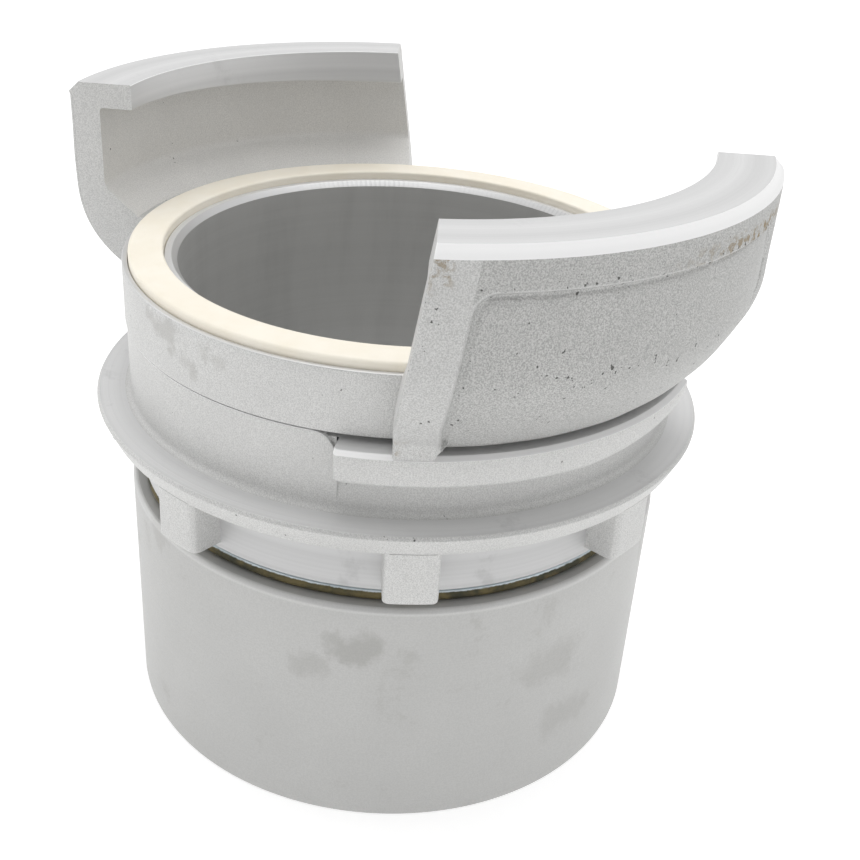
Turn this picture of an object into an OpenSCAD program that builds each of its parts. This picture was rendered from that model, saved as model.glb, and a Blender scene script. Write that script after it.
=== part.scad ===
// Symmetrical claw half-coupling with a rotating locking ring and a female
// pipe-thread socket. Origin: centre of the socket's bottom face, +Z along the
// waterway towards the mating half, claws centred on +X and -X. Millimetres.

/* [Waterway and tail] */
// Diameter of the waterway
bore_d = 100; // [60:1:160]
// Wall of the tail that carries the locking ring
tail_wall = 7; // [5.5:0.1:10]
// Depth of the tail's spigot in the socket
spigot_h = 19.4; // [10:0.1:25]

/* [Threaded socket] */
// Wall of the socket outside the spigot
socket_wall = 5; // [3:0.1:10]
// Height of the socket, bottom face to shoulder
socket_h = 56.4; // [45:0.1:80]
// Radial step from the spigot's outside in to the thread's crests
thread_step = 1.965; // [1.5:0.005:3]
// Depth of the pipe thread
thread_depth = 1.48; // [1:0.01:2]
// Thickness of the ledge between thread and spigot
ledge_t = 3; // [2:0.1:5]
// Width of the runout groove above the thread
runout_h = 3; // [1:0.1:5]

/* [Collar] */
// Radial step from the tail out to the collar
collar_step = 4.6; // [4.4:0.1:8]
// Height of the collar's underside above the socket's shoulder
collar_rise = 38.9; // [36:0.1:60]
// Height of the collar
collar_h = 13.2; // [11:0.1:20]

/* [Claws] */
// Height of the claws above the collar's rim
claw_h = 29.9; // [24:0.1:40]
// Clearance between the lips and the mating half's collar
lip_clear = 1.5; // [0.5:0.1:3]
// Depth of the hook from the lip out to the claw's wall
hook_d = 7.1; // [5:0.1:9]
// Thickness of the claws' walls
claw_wall = 6.5; // [5:0.1:9]
// Lip thickness where the mating ring starts to hook on
lip_t_thin = 5.6; // [4:0.1:7]
// Lip thickness where the mating ring is tight
lip_t_thick = 7.6; // [6:0.1:9.2]
// Offset of the upright end face from the plane through the axis
end_gap = 9.9; // [6:0.1:15]
// Offset of the sloping end face at the claw's top
slope_gap = 7; // [4:0.1:12]
// Slope of the sloping end face
end_slope = 8.7; // [0:0.1:12]
// Width of the raised ribs at the claw's ends
rib_w = 7.8; // [5:0.1:12]
// Height of the raised rim over the panel
rib_h = 7.4; // [5:0.1:12]
// Depth of the panel between the ribs
panel_t = 1.2; // [0.5:0.1:2]

/* [Locking ring] */
// Wall of the ring between the cams
ring_wall = 4; // [3.6:0.1:4.2]
// Wall of the neck under the cams
neck_wall = 3.2; // [2.4:0.1:3.5]
// Wall of the skirt below the flange
skirt_wall = 2; // [1.5:0.1:4]
// Reach of the flange out from the ring's bore
flange_reach = 11.4; // [10:0.1:18]
// Thickness of the flange
flange_t = 5.1; // [4:0.1:8]
// Height of the flange's upper face above the socket's shoulder
flange_rise = 22; // [18:0.1:25]
// Reach of the two cams out from the ring's bore
cam_reach = 8.8; // [8:0.1:10]
// Thickness of the cams at the tight end
cam_t = 5.9; // [4.9:0.1:8]
// Angle that each cam takes up
cam_angle = 76; // [60:1:92]
// Rise of the lead-in under each cam
cam_lead = 3.2; // [1:0.1:3.9]
// Number of spanner lugs
lugs = 8; // [4:1:10]
// Width of a spanner lug
lug_w = 11; // [8:0.1:14]
// Reach of the spanner lugs out from the ring's bore
lug_reach = 9.4; // [7:0.1:11]
// Height of the lugs' lower ends above the skirt's lower edge
lug_rise = 2; // [0:0.1:4]

/* [Seals and wire] */
// Depth of the face seal's recess
seal_recess = 5.2; // [4:0.1:8]
// Height that the face seal stands above the collar's rim
seal_proud = 1.8; // [0.5:0.1:3]
// Radial thickness of the collar's rim outside the seal
rim_t = 1.2; // [1:0.1:2]
// Radial thickness of the lip between waterway and seal
inner_lip_t = 2.7; // [2:0.1:4]
// Diameter of the retaining wire
wire_d = 2.6; // [2:0.1:3.2]
// Gap between the retaining wire's two ends
wire_gap = 8; // [4:0.5:20]
// Diameter of the ring's section that seals tail and socket
o_ring_d = 2.5; // [2:0.1:3]

/* [Clearances] */
// Radial clearance between locking ring and tail
ring_clear = 0.3; // [0.2:0.05:0.6]
// Play between locking ring and collar
ring_play = 0.3; // [0.2:0.05:0.8]
// Radial clearance between spigot and socket
spigot_clear = 0.05; // [0.02:0.01:0.1]
// Clearance round the face seal
seal_clear = 0.15; // [0.1:0.05:0.3]
// Gap between the claws' feet and the cams
foot_clear = 0.6; // [0.4:0.1:1]
// Gap between the cams' tops and the top of the ring's wall
cam_clear = 1; // [0.5:0.1:2]
// Gap between the retaining wire and the ring's lower edge
wire_clear = 0.2; // [0.1:0.05:0.5]

/* [Hidden] */
$fn = 128;
far = 400;

// Round and flat edges
mouth_c = 1.9;
edge_c = 0.5;
bore_c = 1.2;
claw_c = 2;
cam_edge = 0.6;
cam_slope = 1.7;
cam_fillet = 2.5;
skirt_fillet = 2;
flange_fillet = 1.6;
flange_taper = 2;
wall_round = 4.2;

// Radii, from the waterway outwards
bore_r = bore_d / 2;
tail_r = bore_r + tail_wall;
socket_r = tail_r + socket_wall;
minor_r = tail_r - thread_step;
major_r = minor_r + thread_depth;
collar_r = tail_r + collar_step;
lip_r = collar_r + lip_clear;
wall_r = lip_r + hook_d;
claw_r = wall_r + claw_wall;
ring_bore_r = tail_r + ring_clear;
neck_r = ring_bore_r + neck_wall;
ring_wall_r = ring_bore_r + ring_wall;
skirt_r = ring_bore_r + skirt_wall;
flange_r = ring_bore_r + flange_reach;
cam_r = ring_bore_r + cam_reach;
lug_r = ring_bore_r + lug_reach;
wire_r = wire_d / 2;

// Heights, from the socket upwards
tail_z = socket_h - spigot_h;
ledge_z = tail_z - ledge_t;
skirt_z = socket_h + wire_d + wire_clear;
flange_z = socket_h + flange_rise;
collar_z = socket_h + collar_rise;
rim_z = collar_z + collar_h;
claw_z = rim_z + claw_h;
ring_top = collar_z - ring_play;
cam_top = ring_top - cam_clear;
cam_under = cam_top - cam_edge - cam_t;
foot_z = cam_top + foot_clear;

// Angles at which the ring stands: its cams, the slots beside them and its lugs
cam_start = -52;
slot_angle = 2.2;
lead_a = 33;
lug_start = 5.7;

// Seats of the wire and the seals
wire_seat = 0.4;
wire_mid_r = tail_r - wire_seat + wire_r;
wire_z = socket_h + wire_r;
wire_cut = wire_r + 0.05;
groove_w = o_ring_d + 0.7;
groove_r = (bore_r + tail_r) / 2;
seal_r0 = bore_r + inner_lip_t;
seal_r1 = collar_r - rim_t;

// Points of an arc in a profile
function arc(cx, cz, r, a0, a1, n = 8) =
    [for (i = [0:n]) let (a = a0 + (a1 - a0) * i / n) [cx + r * cos(a), cz + r * sin(a)]];

// Claw sections: the belly is an arc that runs from the outer face in to the collar
belly_r = 38;
belly_h = 28.7;
belly_out = 0.5;
belly_x = claw_r - belly_r + belly_out;
belly_z = collar_z + belly_h;
belly_a0 = -asin(belly_h / belly_r);
rib_r = 24;
rib_rise = 20.7;
rib_x = claw_r - rib_r;
rib_z = collar_z + rib_rise;
rib_a0 = -asin(rib_rise / rib_r);
floor_h = 6.7;
floor_w = hook_d + 0.1;
foot_h = 3.7;
foot_flare = 3;

// Lower edge of the sloping end face, where it turns upright
slope_z = rim_z - 5.5;
slope_foot = slope_gap - (claw_z - slope_z) * tan(end_slope);

// The claw's inside: collar wall, sloping floor, wall and lip
module claw_section(outer) {
    rotate_extrude()
        polygon(concat(
            [[collar_r - 1, collar_z], [collar_r - 1, rim_z], [wall_r - floor_w, rim_z],
             [wall_r, rim_z + floor_h], [wall_r, claw_z - lip_t_thick], [lip_r, claw_z - lip_t_thick],
             [lip_r, claw_z]],
            outer));
}

// Wedge between the two end faces of the claw on +X
module between_ends() {
    intersection() {
        rotate([0, 0, 45]) translate([0, -end_gap - far, 0]) cube([far, far, far]);
        rotate([0, 0, -45]) sloping_slab(0, far);
    }
}

// Slab that follows the sloping end face, from depth a to depth b behind it
module sloping_slab(a, b) {
    rotate([90, 0, 90]) linear_extrude(far)
        polygon([[slope_foot + a, 0], [slope_foot + b, 0], [slope_foot + b, slope_z],
                 [slope_gap + b, claw_z], [slope_gap + b, far], [slope_gap + a, far],
                 [slope_gap + a, claw_z], [slope_foot + a, slope_z]]);
}

// Main block of one claw: full height at the rim, set back by panel_t below it
module claw_block() {
    intersection() {
        claw_section(concat(
            [[claw_r - claw_c, claw_z], [claw_r, claw_z - claw_c], [claw_r, claw_z - rib_h],
             [claw_r - panel_t, claw_z - rib_h - panel_t]],
            [for (p = arc(belly_x, belly_z, belly_r, -10, belly_a0, 10))
                [min(p[0], claw_r - panel_t), p[1]]]));
        between_ends();
    }
}

// Raised ribs along both ends of one claw
module claw_ribs() {
    intersection() {
        claw_section(concat(
            [[claw_r - claw_c, claw_z], [claw_r, claw_z - claw_c]],
            arc(rib_x, rib_z, rib_r, 0, rib_a0, 10)));
        between_ends();
        union() {
            rotate([0, 0, 45]) translate([0, -end_gap - rib_w, 0]) cube([far, rib_w + 1, far]);
            rotate([0, 0, -45]) sloping_slab(-1, rib_w);
        }
    }
}

// Foot under the sloping end: it keeps the cam below it level
module claw_foot() {
    foot_r = rib_x + rib_r * cos(asin((rib_rise - foot_h) / rib_r));
    low_r = foot_r - 1.6;
    top_z = collar_z + foot_h + 0.3;
    intersection() {
        rotate_extrude()
            polygon([[collar_r + 0.4, foot_z], [low_r, foot_z], [foot_r, collar_z + foot_h],
                     [foot_r, top_z], [collar_r + 0.4, top_z]]);
        rotate([0, 0, -45]) rotate([90, 0, 90]) linear_extrude(far)
            polygon([[slope_foot, 0], [slope_foot + rib_w, 0], [slope_foot + rib_w, collar_z],
                     [slope_foot + rib_w + foot_flare, top_z], [slope_foot, top_z]]);
    }
}

// Helical underside of the lip, which thins towards the upright end
module lip_ramp() {
    ramp = atan((lip_t_thick - lip_t_thin) / lip_r);
    intersection() {
        rotate_extrude() translate([lip_r - 2, claw_z - lip_t_thick - 1]) square([wall_r - lip_r + 2, 5]);
        rotate([ramp, 0, 0]) translate([0, -far, claw_z - (lip_t_thick + lip_t_thin) / 2 - 10])
            cube([far, 2 * far, 10]);
    }
}

module claw() {
    difference() {
        union() {
            claw_block();
            claw_ribs();
        }
        lip_ramp();
    }
    claw_foot();
}

// Casting with the claws, the collar and the tail that the ring runs on
module claw_body() {
    color([0.78, 0.78, 0.77]) difference() {
        union() {
            rotate_extrude()
                polygon([[bore_r, tail_z], [tail_r - edge_c, tail_z], [tail_r, tail_z + edge_c],
                         [tail_r, collar_z], [collar_r, collar_z], [collar_r, rim_z - 0.3],
                         [collar_r - 0.3, rim_z], [seal_r1, rim_z], [seal_r1, rim_z - seal_recess],
                         [seal_r0, rim_z - seal_recess], [seal_r0, rim_z], [bore_r + bore_c, rim_z],
                         [bore_r, rim_z - bore_c]]);
            for (a = [0, 180]) rotate([0, 0, a]) claw();
        }
        rotate_extrude() translate([wire_mid_r, wire_z]) circle(wire_cut, $fn = 32);
        translate([0, 0, tail_z - 1]) difference() {
            cylinder(h = 1 + o_ring_d, r = groove_r + groove_w / 2);
            cylinder(h = 1 + o_ring_d, r = groove_r - groove_w / 2);
        }
    }
}

// One cam of the locking ring, thick at its start, with a lead-in at its end
module cam() {
    difference() {
        rotate([0, 0, cam_start]) rotate_extrude(angle = cam_angle)
            polygon(concat(
                [[neck_r - 1, cam_top], [cam_r - cam_slope, cam_top],
                 [cam_r, cam_top - cam_edge], [cam_r, cam_under]],
                arc(neck_r + cam_fillet, cam_under - cam_fillet, cam_fillet, 90, 180, 5),
                [[neck_r - 1, cam_under - cam_fillet]]));
        intersection() {
            rotate_extrude() translate([neck_r, cam_under - 5]) square([cam_r - neck_r + 1, cam_t + 4]);
            rotate([0, 0, cam_start + cam_angle - lead_a]) translate([0, 0, cam_under])
                rotate([atan(cam_lead / (cam_r * sin(lead_a))), 0, 0]) translate([0, -10, -10])
                cube([far, far, 10]);
        }
    }
}

// Space round one cam: the wall stops short of it and the neck is a little smaller
module cam_space() {
    start = cam_start - slot_angle;
    span = cam_angle + 2 * slot_angle;
    low = flange_z + flange_fillet;
    rotate([0, 0, start]) rotate_extrude(angle = span)
        polygon([[ring_bore_r - 5, cam_top], [neck_r, cam_top], [neck_r, low + 1],
                 [ring_wall_r + 1, low - 1], [ring_wall_r + 1, ring_top + 1],
                 [ring_bore_r - 5, ring_top + 1]]);
    rotate([0, 0, start + span]) wall_corner(1);
    rotate([0, 0, start]) wall_corner(-1);
}

// Cutter that rounds an upper corner of the ring's wall
module wall_corner(side) {
    translate([ring_bore_r - 5, 0, ring_top - wall_round]) rotate([90, 0, 90]) linear_extrude(20)
        polygon([for (p = concat([[-0.5, wall_round + 1], [-0.5, 0]],
                                 arc(wall_round, 0, wall_round, 178, 98, 6),
                                 [[wall_round * 0.86, wall_round + 1]])) [side * p[0], p[1]]]);
}

// Spanner lugs under the flange
module ring_lugs() {
    intersection() {
        rotate_extrude()
            polygon([[skirt_r - 1, skirt_z + lug_rise], [lug_r - 1, skirt_z + lug_rise],
                     [lug_r, skirt_z + lug_rise + 1], [lug_r, flange_z - flange_t + 1],
                     [skirt_r - 1, flange_z - flange_t + 1]]);
        for (i = [0:lugs - 1]) rotate([0, 0, lug_start + i * 360 / lugs])
            translate([ring_bore_r + 1, -lug_w / 2, 0]) cube([30, lug_w, far]);
    }
}

// Ring with two cams that hooks over the mating half's claws
module locking_ring() {
    color([0.80, 0.80, 0.79]) union() {
        difference() {
            rotate_extrude()
                polygon(concat(
                    [[ring_bore_r, skirt_z], [skirt_r - 0.4, skirt_z], [skirt_r, skirt_z + 0.4]],
                    arc(skirt_r + skirt_fillet, flange_z - flange_t - skirt_fillet,
                        skirt_fillet, 180, 90, 4),
                    [[flange_r - flange_taper, flange_z - flange_t],
                     [flange_r, flange_z - 0.8], [flange_r - 0.5, flange_z]],
                    arc(ring_wall_r + flange_fillet, flange_z + flange_fillet,
                        flange_fillet, 270, 180, 4),
                    [[ring_wall_r, ring_top], [ring_bore_r, ring_top]]));
            for (a = [0, 180]) rotate([0, 0, a]) cam_space();
        }
        for (a = [0, 180]) rotate([0, 0, a]) cam();
        ring_lugs();
    }
}

// Sprung wire that holds the locking ring up against the collar
module retaining_wire() {
    gap_a = wire_gap / wire_mid_r * 180 / PI;
    color([0.55, 0.52, 0.36]) rotate([0, 0, 135 + gap_a / 2]) rotate_extrude(angle = 360 - gap_a)
        translate([wire_mid_r, wire_z]) circle(wire_r, $fn = 32);
}

// Flat rubber ring in the collar's recess
module face_seal() {
    seal_top = rim_z + seal_proud;
    color([0.98, 0.94, 0.84]) rotate_extrude()
        polygon([[seal_r0 + seal_clear, rim_z - seal_recess], [seal_r1 - seal_clear, rim_z - seal_recess],
                 [seal_r1 - seal_clear, seal_top - 0.5], [seal_r1 - seal_clear - 0.5, seal_top],
                 [seal_r0 + seal_clear + 0.5, seal_top], [seal_r0 + seal_clear, seal_top - 0.5]]);
}

// Socket with the female pipe thread, screwed and sealed onto the tail
module threaded_socket() {
    color([0.76, 0.76, 0.75]) rotate_extrude()
        polygon([[minor_r + mouth_c, 0], [socket_r - edge_c, 0], [socket_r, edge_c],
                 [socket_r, socket_h - edge_c], [socket_r - edge_c, socket_h],
                 [tail_r + spigot_clear, socket_h], [tail_r + spigot_clear, tail_z], [bore_r, tail_z],
                 [bore_r, ledge_z], [major_r + 0.4, ledge_z], [major_r + 0.4, ledge_z - runout_h],
                 [minor_r, ledge_z - runout_h - 1.5], [minor_r, mouth_c]]);
}

// Round sealing ring in the end of the tail
module joint_o_ring() {
    color([0.08, 0.08, 0.08]) rotate_extrude()
        translate([groove_r, tail_z + o_ring_d / 2]) circle(o_ring_d / 2, $fn = 32);
}

claw_body();
locking_ring();
retaining_wire();
face_seal();
threaded_socket();
joint_o_ring();
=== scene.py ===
"""Claw half-coupling with a rotating locking ring, built over its CAD frame.

Sizes are in metres in the sidebar and in millimetres inside the mesh code.
"""

import math
from functools import cache

import bmesh
import bpy
import numpy as np
from bpy.props import FloatProperty, FloatVectorProperty, IntProperty, PointerProperty
from bpy.types import Operator, Panel, PropertyGroup
from mathutils import Matrix, Vector


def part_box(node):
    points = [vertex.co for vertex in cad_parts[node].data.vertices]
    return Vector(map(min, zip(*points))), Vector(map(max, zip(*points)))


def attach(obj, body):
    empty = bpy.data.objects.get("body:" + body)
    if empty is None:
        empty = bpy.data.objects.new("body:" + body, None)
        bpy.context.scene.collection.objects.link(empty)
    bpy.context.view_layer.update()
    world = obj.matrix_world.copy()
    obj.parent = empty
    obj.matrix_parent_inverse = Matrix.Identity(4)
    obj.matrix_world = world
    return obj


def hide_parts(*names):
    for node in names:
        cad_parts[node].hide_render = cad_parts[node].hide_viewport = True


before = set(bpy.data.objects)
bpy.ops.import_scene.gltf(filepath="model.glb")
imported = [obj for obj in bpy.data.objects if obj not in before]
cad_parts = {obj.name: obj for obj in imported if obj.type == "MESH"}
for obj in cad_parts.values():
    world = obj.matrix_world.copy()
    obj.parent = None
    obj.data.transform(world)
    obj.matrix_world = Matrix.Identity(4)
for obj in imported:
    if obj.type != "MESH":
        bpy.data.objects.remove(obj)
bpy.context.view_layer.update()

bl_info = {
    "name": "Claw half-coupling",
    "version": (1, 0, 0),
    "blender": (4, 5, 0),
    "location": "3D View > Sidebar > Coupling",
    "description": "Builds a claw half-coupling with a locking ring, face seal and threaded socket",
    "category": "Add Mesh",
}

MM = 1000.0


def cad(node):
    """Lowest height, highest height and outer radius of a CAD node, in metres."""
    low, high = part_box(node)
    return low.z, high.z, max(high.x, high.y)


CLAW_LOW, CLAW_TOP, CLAW_R = cad("claw_body")
RING_LOW, RING_TOP, FLANGE_R = cad("locking_ring")
SOCKET_LOW, SOCKET_TOP, SOCKET_R = cad("threaded_socket")
SEAL_LOW, SEAL_TOP, SEAL_R = cad("face_seal")
WIRE_LOW, WIRE_TOP, WIRE_R = cad("retaining_wire")
O_RING_LOW, O_RING_TOP, O_RING_R = cad("joint_o_ring")


def amount(name, description, default, **kind):
    return FloatProperty(name=name, description=description, default=default, min=0.0, **kind)


def length(name, description, default):
    return amount(name, description, default, unit="LENGTH", precision=5)


def degrees(name, description, default):
    return FloatProperty(name=name, description=description, default=math.radians(default), subtype="ANGLE")


def tone(name, description, default):
    return FloatVectorProperty(
        name=name, description=description, default=default, size=3, subtype="COLOR", min=0.0, max=1.0
    )


class CastingSizes(PropertyGroup):
    bore_r: length("Waterway radius", "Radius of the waterway", 0.05)
    tail_r: length("Tail radius", "Radius of the tail that the ring turns on", 0.057)
    collar_r: length("Collar radius", "Outer radius of the collar", 0.0616)
    collar_h: length("Collar height", "Height of the collar", 0.0132)
    claw_h: length("Claw height", "Height of the claws above the collar", 0.0299)
    lip_r: length("Lip radius", "Inner radius of the hooked lips", 0.0631)
    wall_r: length("Wall radius", "Inner radius of the claws' walls", 0.0702)
    lip_thin: length("Thin lip", "Lip thickness at the upright end", 0.0056)
    lip_thick: length("Thick lip", "Lip thickness at the sloping end", 0.0076)
    end_gap: length("Upright end", "Offset of the upright end face from the axis", 0.0099)
    slope_gap: length("Sloping end", "Offset of the sloping end face at its top", 0.007)
    end_slope: degrees("End slope", "Slope of the sloping end face", 8.7)
    rib_w: length("Rib width", "Width of the ribs at the claws' ends", 0.0078)
    rib_h: length("Rim height", "Height of the raised rim above the panel", 0.0074)
    panel_t: length("Panel depth", "Depth of the panel between the ribs", 0.0012)
    chamfer: length("Top chamfer", "Chamfer along the claws' outer top edges", 0.002)
    cast_edge: length("Cast edge", "Rounding of the cast edges", 0.0009)
    seal_low: length("Recess depth", "Depth of the seal's recess", 0.0052)
    rim_t: length("Rim wall", "Thickness of the rim outside the seal", 0.0012)
    lip_t: length("Inner lip", "Thickness of the lip between waterway and seal", 0.0027)


class RingSizes(PropertyGroup):
    bore_r: length("Ring bore radius", "Radius of the ring's bore", 0.0573)
    wall_r: length("Ring wall radius", "Outer radius of the wall between the cams", 0.0613)
    neck_r: length("Neck radius", "Outer radius of the neck under the cams", 0.0605)
    skirt_r: length("Skirt radius", "Outer radius of the skirt", 0.0593)
    cam_r: length("Cam radius", "Outer radius of the cams", 0.0661)
    flange_t: length("Flange thickness", "Thickness of the flange", 0.0051)
    flange_top: length("Flange height", "Height of the flange's upper face", 0.0784)
    cam_top: length("Cam height", "Height of the cams' upper faces", 0.094)
    cam_t: length("Cam thickness", "Thickness of the cams at the tight end", 0.0065)
    cam_lead: length("Lead-in", "Rise of the lead-in under each cam", 0.0032)
    cam_start: degrees("Cam start", "Angle at which a cam starts", -53.2)
    cam_angle: degrees("Cam angle", "Angle that a cam takes up", 77.2)
    slot_angle: degrees("Slot angle", "Angle of the slot at each end of a cam", 0.45)
    shoulder: length("Shoulder rounding", "Rounding of the wall's upper corners", 0.0046)
    lugs: IntProperty(name="Lugs", description="Number of spanner lugs", default=8, min=1, max=12)
    lug_start: degrees("Lug start", "Angle of the first lug", 5.7)
    lug_w: length("Lug width", "Width of a spanner lug", 0.011)
    lug_r: length("Lug radius", "Outer radius of the lugs", 0.0667)
    lug_low: length("Lug foot", "Height of the lugs' lower ends", 0.0612)


class SocketSizes(PropertyGroup):
    thread_r: length("Thread crest radius", "Radius over the thread's crests", 0.055035)
    thread_depth: length("Thread depth", "Depth of the thread", 0.00148)
    pitch: length("Thread pitch", "Pitch of the thread", 0.002309)
    thread_top: length("Thread end", "Height at which the thread ends", 0.0295)
    ledge_low: length("Ledge", "Height of the ledge's lower face", 0.034)
    edge: length("Edge rounding", "Rounding of the socket's outer edges", 0.0008)
    shoulder: length("Shoulder rounding", "Rounding of the socket's upper edge", 0.0011)


class SealSizes(PropertyGroup):
    inner_r: length("Seal bore radius", "Inner radius of the face seal", 0.05285)
    edge: length("Seal edge", "Rounding of the face seal's edges", 0.0006)
    wire_gap: length("Wire gap", "Gap between the wire's ends", 0.008)


class Finishes(PropertyGroup):
    cast: tone("Cast aluminium", "Colour of the cast surfaces", (0.66, 0.66, 0.65))
    panel: tone("Claw panel", "Colour of the claws' outer panels", (0.50, 0.50, 0.49))
    turned: tone("Turned aluminium", "Colour of the turned surfaces", (0.74, 0.74, 0.74))
    barrel: tone("Barrel", "Colour of the socket's outside", (0.52, 0.52, 0.51))
    bore: tone("Bore", "Colour of the waterway's wall", (0.50, 0.50, 0.49))
    soil: tone("Soil", "Colour of the ochre soiling", (0.24, 0.165, 0.065))
    pits: tone("Pits", "Colour inside the casting pits", (0.05, 0.05, 0.045))
    seal: tone("Seal rubber", "Colour of the face seal", (0.97, 0.92, 0.81))
    wire: tone("Wire", "Colour of the plated wire", (0.72, 0.80, 0.84))
    grain: amount("Grain", "Strength of the cast grain", 1.0, max=3.0, subtype="FACTOR")


class StageSettings(PropertyGroup):
    floor: tone("Floor", "Colour of the floor", (0.62, 0.62, 0.62))
    glow: amount("Floor glow", "Light given off by the floor", 0.62)
    overhead: amount("Overhead light", "Power of the overhead light", 2.6, unit="POWER"
    )
    side: amount("Side light", "Power of the side light", 1.0, unit="POWER"
    )
    room: amount("Room light", "Brightness of the room", 0.8)
    azimuth: degrees("Camera azimuth", "Direction from the axis to the camera", -43.19)
    distance: length("Camera distance", "Level distance from the axis to the camera", 0.2534)
    height: length("Camera height", "Height of the camera", 0.2041)
    heading: degrees("Camera heading", "Direction in which the camera looks", 135)
    tilt: degrees("Camera tilt", "Angle by which the camera looks down", 29.003)
    roll: degrees("Camera roll", "Roll of the camera", 4.067)
    lens: amount("Lens", "Focal length", 50.41, unit="CAMERA")


# Outlines and skins


def smooth(value, low, high):
    """0 below low, 1 above high, and a smooth step between them."""
    t = np.clip((value - low) / (high - low), 0.0, 1.0)
    return t * t * (3 - 2 * t)


def rolled(distance, radius):
    """How far a rolled edge lies below its face, at a distance in from the edge."""
    return radius * (1 - np.sqrt(1 - np.clip(1 - distance / radius, 0, 1) ** 2))


def rounded(corners, steps=5, closed=True):
    """Points of an outline through corners of (radius, height, rounding), the same number for each corner."""
    points, count = [], len(corners)
    for i, (x, z, r) in enumerate(corners):
        here = np.array((x, z), float)
        if not closed and i in (0, count - 1):
            points.append(here)
            continue
        before = np.array(corners[i - 1][:2]) - here
        after = np.array(corners[(i + 1) % count][:2]) - here
        lb, la = np.linalg.norm(before), np.linalg.norm(after)
        if r <= 0:
            points.append(here)
            continue
        before, after = before / lb, after / la
        half = math.acos(np.clip(before @ after, -1, 1)) / 2
        cut = min(r / math.tan(half), lb * 0.49, la * 0.49)
        r = cut * math.tan(half)
        middle = before + after
        centre = here + middle / np.linalg.norm(middle) * r / math.sin(half)
        a, b = here + before * cut - centre, here + after * cut - centre
        start = math.atan2(a[1], a[0])
        turn = (math.atan2(b[1], b[0]) - start + math.pi) % (2 * math.pi) - math.pi
        for k in range(steps + 1):
            angle = start + turn * k / steps
            points.append(centre + r * np.array((math.cos(angle), math.sin(angle))))
    return np.array(points)


def curve(x, z, r, start, end, steps=8):
    """Points of an arc, with its angles in degrees."""
    a = np.radians(np.linspace(start, end, steps + 1))
    return np.stack([x + r * np.cos(a), z + r * np.sin(a)], -1)


def divided(points, longest, closed=True):
    """The outline with its long stretches divided, so that no step is over longest."""
    out = []
    for a, b in list(zip(points, np.roll(points, -1, axis=0)))[: len(points) - (not closed)]:
        steps = max(1, math.ceil(np.linalg.norm(b - a) / longest))
        out += [a + (b - a) * k / steps for k in range(steps)]
    return np.array(out if closed else out + [points[-1]])


def at_angle(outline, angle):
    """The outline's (radius, height) points, stood up at an angle round the axis."""
    r, z = outline[..., 0], outline[..., 1]
    return np.stack([r * np.cos(angle), r * np.sin(angle), z], -1)


def skin(columns, closed=True):
    """Vertices and faces over columns of the same number of points; closed joins the last to the first."""
    columns = np.asarray(columns, float)
    count, size = columns.shape[:2]
    c = np.arange(count if closed else count - 1)[:, None]
    p = np.arange(size)[None, :]
    c2, p2 = (c + 1) % count, (p + 1) % size
    faces = np.stack([c * size + p, c2 * size + p, c2 * size + p2, c * size + p2], -1)
    return columns.reshape(-1, 3), faces.reshape(-1, 4).tolist()


def spun(outline, segments=360):
    """A skin turned from a closed outline."""
    angles = np.linspace(0, 2 * math.pi, segments, endpoint=False)
    return skin([at_angle(outline, a) for a in angles])


def make_piece(name, skins, node, body, materials, choose=None, sharp=34.0):
    """One object from skins in millimetres. It stands for the CAD node and rides on the body."""
    verts, faces, base = [], [], 0
    for points, quads in skins:
        verts.append(points)
        faces += [[i + base for i in face] for face in quads]
        base += len(points)
    mesh = bpy.data.meshes.new(name)
    mesh.from_pydata((np.vstack(verts) / MM).tolist(), [], faces)
    work = bmesh.new()
    work.from_mesh(mesh)
    bmesh.ops.remove_doubles(work, verts=work.verts, dist=1e-8)
    bmesh.ops.recalc_face_normals(work, faces=work.faces)
    for face in work.faces:
        face.smooth = True
        if choose:
            face.material_index = choose(face.calc_center_median() * MM, face.normal)
    work.to_mesh(mesh)
    work.free()
    mesh.set_sharp_from_angle(angle=math.radians(sharp))
    for material in materials:
        mesh.materials.append(material)
    obj = bpy.data.objects.new(name, mesh)
    bpy.context.collection.objects.link(obj)
    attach(obj, body)
    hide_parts(node)
    return obj


# Shader helpers


def feed(tree, node, inputs):
    """Links each input that is given as a socket, and sets any other. Colours are given without alpha."""
    for key, value in inputs.items():
        socket = node.inputs[key]
        if isinstance(value, bpy.types.NodeSocket):
            tree.links.new(value, socket)
        else:
            socket.default_value = (*value, 1.0) if socket.type == "RGBA" else value


def put(tree, kind, inputs=None, **settings):
    """Adds a shader node with its settings and inputs."""
    node = tree.nodes.new("ShaderNode" + kind)
    for name, value in settings.items():
        setattr(node, name, value)
    feed(tree, node, inputs or {})
    return node


def calc(tree, operation, a, b=0.0, clamp=False):
    return put(tree, "Math", {0: a, 1: b}, operation=operation, use_clamp=clamp).outputs[0]


def plus(tree, a, b, clamp=False):
    return calc(tree, "ADD", a, b, clamp)


def minus(tree, a, b, clamp=False):
    return calc(tree, "SUBTRACT", a, b, clamp)


def times(tree, a, b):
    return calc(tree, "MULTIPLY", a, b)


def spread(tree, value, low, high, out_low=0.0, out_high=1.0):
    """Maps a value from low..high smoothly onto out_low..out_high."""
    return put(
        tree, "MapRange",
        {"Value": value, "From Min": low, "From Max": high, "To Min": out_low, "To Max": out_high},
        interpolation_type="SMOOTHSTEP",
    ).outputs[0]


def blend(tree, factor, a, b):
    return put(tree, "Mix", {0: factor, 6: a, 7: b}, data_type="RGBA").outputs[2]


def scaled(tree, vector, factors):
    factors = factors if isinstance(factors, tuple) else (factors,) * 3
    return put(tree, "VectorMath", {0: vector, 1: factors}, operation="MULTIPLY").outputs[0]


def axes(tree, vector):
    return put(tree, "SeparateXYZ", {0: vector}).outputs


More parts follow.
